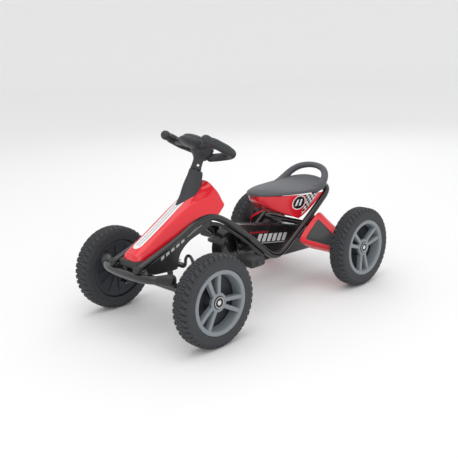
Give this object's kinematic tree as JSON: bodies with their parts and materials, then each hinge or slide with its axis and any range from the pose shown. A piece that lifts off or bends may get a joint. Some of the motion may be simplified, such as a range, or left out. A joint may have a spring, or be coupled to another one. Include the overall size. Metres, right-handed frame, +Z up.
{
  "type": "pedal go kart",
  "caption": "Child's pedal go kart: bent tube frame, yoke steering through kingpins and a tie rod, pedal crank with cased chain drive, moulded saddle and moulded plastic wheels.",
  "frame": {"origin": "on the ground, under the middle of the bounding box", "axes": "+X forward, +Y to the driver's left, +Z up"},
  "size_m": [0.816, 0.46, 0.4878],
  "materials": {
    "frame_paint": "gloss black powder coat",
    "steel": "bright zinc plating",
    "dark_steel": "dark plating",
    "red_plastic": "gloss red",
    "black_plastic": "satin black",
    "case_plastic": "semi gloss black",
    "charcoal_plastic": "satin charcoal",
    "seat_plastic": "fine grained grey",
    "tyre": "moulded black with a block tread",
    "rim_plastic": "satin grey"
  },
  "bodies": {
    "frame": {"axle_bracket_left": "frame_paint", "axle_bracket_right": "frame_paint", "axle_bush_left": "black_plastic", "axle_bush_right": "black_plastic", "bumper_bow": "frame_paint", "bumper_cap_left": "black_plastic", "bumper_cap_right": "black_plastic", "chain_case_left": "case_plastic", "chain_case_right": "case_plastic", "column_bracket": "frame_paint", "column_bush": "black_plastic", "column_shroud": "charcoal_plastic", "crank_hanger_left": "frame_paint", "crank_hanger_right": "frame_paint", "drive_chain": "dark_steel", "frame_tube_left": "frame_paint", "frame_tube_right": "frame_paint", "front_axle_beam": "frame_paint", "kingpin_left": "steel", "kingpin_right": "steel", "nose_chin": "black_plastic", "nose_cover": "red_plastic", "rear_fairing_left": "red_plastic", "rear_fairing_right": "red_plastic", "seat": "seat_plastic", "seat_cross_tube": "frame_paint", "seat_shell": "red_plastic", "side_panel_left": "black_plastic", "side_panel_right": "black_plastic", "tube_cap_left": "black_plastic", "tube_cap_right": "black_plastic"},
    "steering": {"steering_column": "steel", "steering_wheel": "charcoal_plastic", "steering_pad": "charcoal_plastic", "wheel_bolt": "steel"},
    "left_knuckle": {"knuckle_left": "dark_steel"},
    "right_knuckle": {"knuckle_right": "dark_steel"},
    "tie_rod": {"tie_rod": "dark_steel"},
    "front_left_wheel": {"tyre_front_left": "tyre", "wheel_disc_front_left": "black_plastic", "wheel_rim_front_left": "rim_plastic", "hub_cap_front_left": "black_plastic"},
    "front_right_wheel": {"tyre_front_right": "tyre", "wheel_disc_front_right": "black_plastic", "wheel_rim_front_right": "rim_plastic", "hub_cap_front_right": "black_plastic"},
    "crank": {"pedal_crank": "dark_steel", "front_sprocket": "steel"},
    "left_pedal": {"pedal_left": "black_plastic"},
    "right_pedal": {"pedal_right": "black_plastic"},
    "rear_drive": {"rear_axle": "steel", "rear_sprocket": "steel", "tyre_rear_left": "tyre", "wheel_disc_rear_left": "black_plastic", "wheel_rim_rear_left": "rim_plastic", "hub_cap_rear_left": "black_plastic"},
    "rear_right_wheel": {"tyre_rear_right": "tyre", "wheel_disc_rear_right": "black_plastic", "wheel_rim_rear_right": "rim_plastic", "hub_cap_rear_right": "black_plastic"}
  },
  "joints": [
    {"name": "steering_turn", "type": "hinge", "parent": "frame", "child": "steering", "pos_m": [0.142, 0, 0.4], "axis": [-0.4472, 0, 0.8944], "range_deg": [-45, 45]},
    {"name": "left_kingpin_turn", "type": "hinge", "parent": "frame", "child": "left_knuckle", "pos_m": [0.287, 0.15, 0.115], "axis": [0, 0, 1], "range_deg": [-23, 23]},
    {"name": "right_kingpin_turn", "type": "hinge", "parent": "frame", "child": "right_knuckle", "pos_m": [0.287, -0.15, 0.115], "axis": [0, 0, 1], "range_deg": [-23, 23]},
    {"name": "tie_rod_swing", "type": "hinge", "parent": "left_knuckle", "child": "tie_rod", "pos_m": [0.232, 0.15, 0.15], "axis": [0, 0, 1], "range_deg": [-23, 23]},
    {"name": "front_left_wheel_spin", "type": "hinge", "parent": "left_knuckle", "child": "front_left_wheel", "pos_m": [0.287, 0.204, 0.115], "axis": [0, 1, 0], "continuous": true},
    {"name": "front_right_wheel_spin", "type": "hinge", "parent": "right_knuckle", "child": "front_right_wheel", "pos_m": [0.287, -0.204, 0.115], "axis": [0, 1, 0], "continuous": true},
    {"name": "crank_spin", "type": "hinge", "parent": "frame", "child": "crank", "pos_m": [0.032, 0, 0.155], "axis": [0, 1, 0], "continuous": true},
    {"name": "left_pedal_spin", "type": "hinge", "parent": "crank", "child": "left_pedal", "pos_m": [0.09196, 0.135, 0.15291], "axis": [0, 1, 0], "continuous": true},
    {"name": "right_pedal_spin", "type": "hinge", "parent": "crank", "child": "right_pedal", "pos_m": [-0.02796, -0.135, 0.15709], "axis": [0, 1, 0], "continuous": true},
    {"name": "rear_axle_spin", "type": "hinge", "parent": "frame", "child": "rear_drive", "pos_m": [-0.293, 0, 0.115], "axis": [0, 1, 0], "continuous": true},
    {"name": "rear_right_wheel_spin", "type": "hinge", "parent": "frame", "child": "rear_right_wheel", "pos_m": [-0.293, -0.204, 0.115], "axis": [0, 1, 0], "continuous": true}
  ],
  "couplings": [
    {"joint": "left_kingpin_turn", "follows": "steering_turn", "ratio": 0.5},
    {"joint": "right_kingpin_turn", "follows": "steering_turn", "ratio": 0.5},
    {"joint": "tie_rod_swing", "follows": "steering_turn", "ratio": -0.5},
    {"joint": "rear_axle_spin", "follows": "crank_spin", "ratio": 2}
  ]
}
